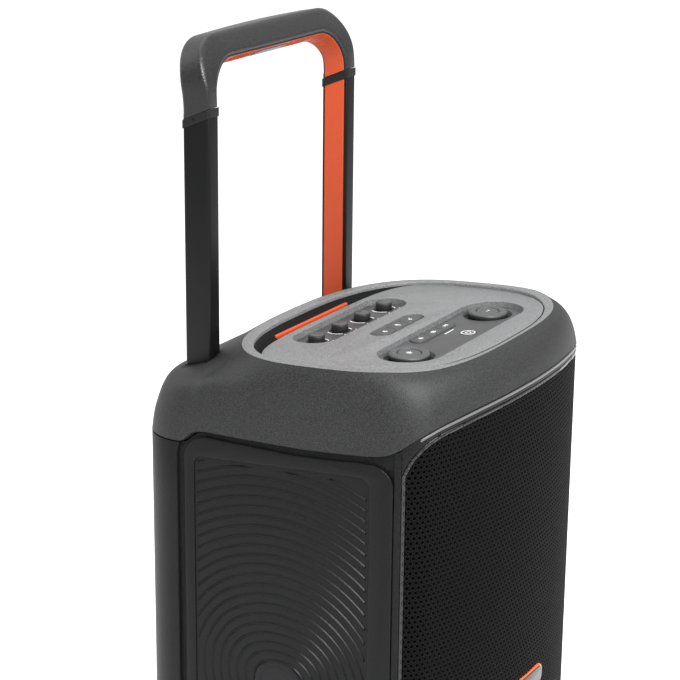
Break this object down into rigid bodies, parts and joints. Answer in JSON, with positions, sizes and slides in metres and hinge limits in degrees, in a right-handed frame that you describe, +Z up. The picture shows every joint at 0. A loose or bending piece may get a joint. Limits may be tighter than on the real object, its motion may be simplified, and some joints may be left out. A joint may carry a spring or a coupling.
{
  "type": "party speaker",
  "caption": "Upright portable party speaker with curved perforated front, top control deck with knobs and tablet slot, pull-up trolley handle and rear wheels.",
  "frame": {"origin": "on the floor, under the middle of the whole speaker with its rear wheels", "axes": "+Z up, the grille faces -Y, +X is the right side seen from the front"},
  "size_m": [0.332, 0.3848, 0.9236],
  "materials": {
    "cap_plastic": "fine speckled texture",
    "deck_plastic": "fine speckled satin",
    "knob_plastic": "satin",
    "black_plastic": "fine texture",
    "grille_metal": "black powder coat, perforated",
    "side_plastic": "fine texture, ribbed",
    "handle_metal": "black satin",
    "grip_plastic": "fine speckled texture",
    "orange_rubber": "matte soft touch",
    "badge_orange": "satin",
    "light_diffuser": "translucent white",
    "bare_metal": "turned",
    "driver_metal": "black",
    "cone_paper": "pressed fibre",
    "board": "circuit board",
    "battery_plastic": "fine texture",
    "tyre": "moulded rubber",
    "rubber": "matte"
  },
  "bodies": {
    "cabinet": {"rear_wall": "black_plastic", "side_wall_left": "black_plastic", "side_wall_right": "black_plastic", "base_tray": "black_plastic", "front_baffle": "black_plastic", "front_grille": "grille_metal", "top_cap": "cap_plastic", "control_deck": "deck_plastic", "slot_pad": "orange_rubber", "light_strip": "light_diffuser", "front_badge": "badge_orange", "bass_port": "black_plastic", "rear_panel": "black_plastic", "power_inlet": "black_plastic", "battery_pack": "battery_plastic", "amplifier_board": "board", "power_supply": "driver_metal", "control_board": "board", "wheel_axle": "bare_metal", "woofer_frame_upper": "driver_metal", "woofer_cone_upper": "cone_paper", "woofer_frame_lower": "driver_metal", "woofer_cone_lower": "cone_paper", "side_panel_left": "side_plastic", "tweeter_left": "black_plastic", "guide_tube_left": "bare_metal", "front_foot_left": "rubber", "side_panel_right": "side_plastic", "tweeter_right": "black_plastic", "guide_tube_right": "bare_metal", "front_foot_right": "rubber"},
    "handle": {"handle_leg_left": "handle_metal", "handle_leg_right": "handle_metal", "leg_strip_left": "orange_rubber", "leg_strip_right": "orange_rubber", "leg_collar_left": "black_plastic", "leg_collar_right": "black_plastic", "grip_shell": "grip_plastic", "grip_insert": "orange_rubber"},
    "release": {"release_button": "knob_plastic"},
    "battery_door": {"battery_door": "black_plastic"},
    "wheel_left": {"wheel_hub_left": "black_plastic", "wheel_tyre_left": "tyre"},
    "wheel_right": {"wheel_hub_right": "black_plastic", "wheel_tyre_right": "tyre"},
    "level_knob_1": {"level_knob_1": "knob_plastic"},
    "level_knob_2": {"level_knob_2": "knob_plastic"},
    "level_knob_3": {"level_knob_3": "knob_plastic"},
    "level_knob_4": {"level_knob_4": "knob_plastic"},
    "light_dial": {"light_dial": "knob_plastic"},
    "volume_dial": {"volume_dial": "knob_plastic"},
    "light_dial_button": {"light_dial_button": "knob_plastic"},
    "volume_dial_button": {"volume_dial_button": "knob_plastic"},
    "voice_button": {"voice_button": "knob_plastic"},
    "echo_button": {"echo_button": "knob_plastic"},
    "guitar_button": {"guitar_button": "knob_plastic"},
    "bass_button": {"bass_button": "knob_plastic"},
    "link_button": {"link_button": "knob_plastic"},
    "play_button": {"play_button": "knob_plastic"},
    "power_button": {"power_button": "knob_plastic"}
  },
  "joints": [
    {"name": "handle_slide", "type": "slide", "parent": "cabinet", "child": "handle", "axis": [0, 0, 1], "range_m": [-0.212, 0]},
    {"name": "release_press", "type": "slide", "parent": "handle", "child": "release", "axis": [0, 0.3256, 0.9455], "range_m": [0, 0.0025], "stiffness_N_per_m": 600},
    {"name": "battery_door_hinge", "type": "hinge", "parent": "cabinet", "child": "battery_door", "pos_m": [0, 0.1296, 0.1565], "axis": [-1, 0, 0], "range_deg": [0, 100]},
    {"name": "wheel_left_spin", "type": "hinge", "parent": "cabinet", "child": "wheel_left", "pos_m": [-0.124, 0.1304, 0.062], "axis": [1, 0, 0], "continuous": true},
    {"name": "wheel_right_spin", "type": "hinge", "parent": "cabinet", "child": "wheel_right", "pos_m": [0.124, 0.1304, 0.062], "axis": [1, 0, 0], "continuous": true},
    {"name": "level_knob_1_turn", "type": "hinge", "parent": "cabinet", "child": "level_knob_1", "pos_m": [-0.0606, -0.0003, 0.651], "axis": [0, 0, 1], "range_deg": [-135, 135]},
    {"name": "level_knob_2_turn", "type": "hinge", "parent": "cabinet", "child": "level_knob_2", "pos_m": [-0.0202, -0.0003, 0.651], "axis": [0, 0, 1], "range_deg": [-135, 135]},
    {"name": "level_knob_3_turn", "type": "hinge", "parent": "cabinet", "child": "level_knob_3", "pos_m": [0.0202, -0.0003, 0.651], "axis": [0, 0, 1], "range_deg": [-135, 135]},
    {"name": "level_knob_4_turn", "type": "hinge", "parent": "cabinet", "child": "level_knob_4", "pos_m": [0.0606, -0.0003, 0.651], "axis": [0, 0, 1], "range_deg": [-135, 135]},
    {"name": "light_dial_turn", "type": "hinge", "parent": "cabinet", "child": "light_dial", "pos_m": [-0.0745, -0.1027, 0.659], "axis": [0, 0, 1], "continuous": true},
    {"name": "light_dial_press", "type": "slide", "parent": "cabinet", "child": "light_dial_button", "axis": [0, 0, -1], "range_m": [0, 0.001], "stiffness_N_per_m": 500},
    {"name": "volume_dial_turn", "type": "hinge", "parent": "cabinet", "child": "volume_dial", "pos_m": [0.0745, -0.1027, 0.659], "axis": [0, 0, 1], "continuous": true},
    {"name": "volume_dial_press", "type": "slide", "parent": "cabinet", "child": "volume_dial_button", "axis": [0, 0, -1], "range_m": [0, 0.001], "stiffness_N_per_m": 500},
    {"name": "voice_button_press", "type": "slide", "parent": "cabinet", "child": "voice_button", "axis": [0, 0, -1], "range_m": [0, 0.001], "stiffness_N_per_m": 400},
    {"name": "echo_button_press", "type": "slide", "parent": "cabinet", "child": "echo_button", "axis": [0, 0, -1], "range_m": [0, 0.001], "stiffness_N_per_m": 400},
    {"name": "guitar_button_press", "type": "slide", "parent": "cabinet", "child": "guitar_button", "axis": [0, 0, -1], "range_m": [0, 0.001], "stiffness_N_per_m": 400},
    {"name": "bass_button_press", "type": "slide", "parent": "cabinet", "child": "bass_button", "axis": [0, 0, -1], "range_m": [0, 0.0006], "stiffness_N_per_m": 400},
    {"name": "link_button_press", "type": "slide", "parent": "cabinet", "child": "link_button", "axis": [0, 0, -1], "range_m": [0, 0.0006], "stiffness_N_per_m": 400},
    {"name": "play_button_press", "type": "slide", "parent": "cabinet", "child": "play_button", "axis": [0, 0, -1], "range_m": [0, 0.0006], "stiffness_N_per_m": 400},
    {"name": "power_button_press", "type": "slide", "parent": "cabinet", "child": "power_button", "axis": [0, 0, -1], "range_m": [0, 0.0006], "stiffness_N_per_m": 400}
  ]
}
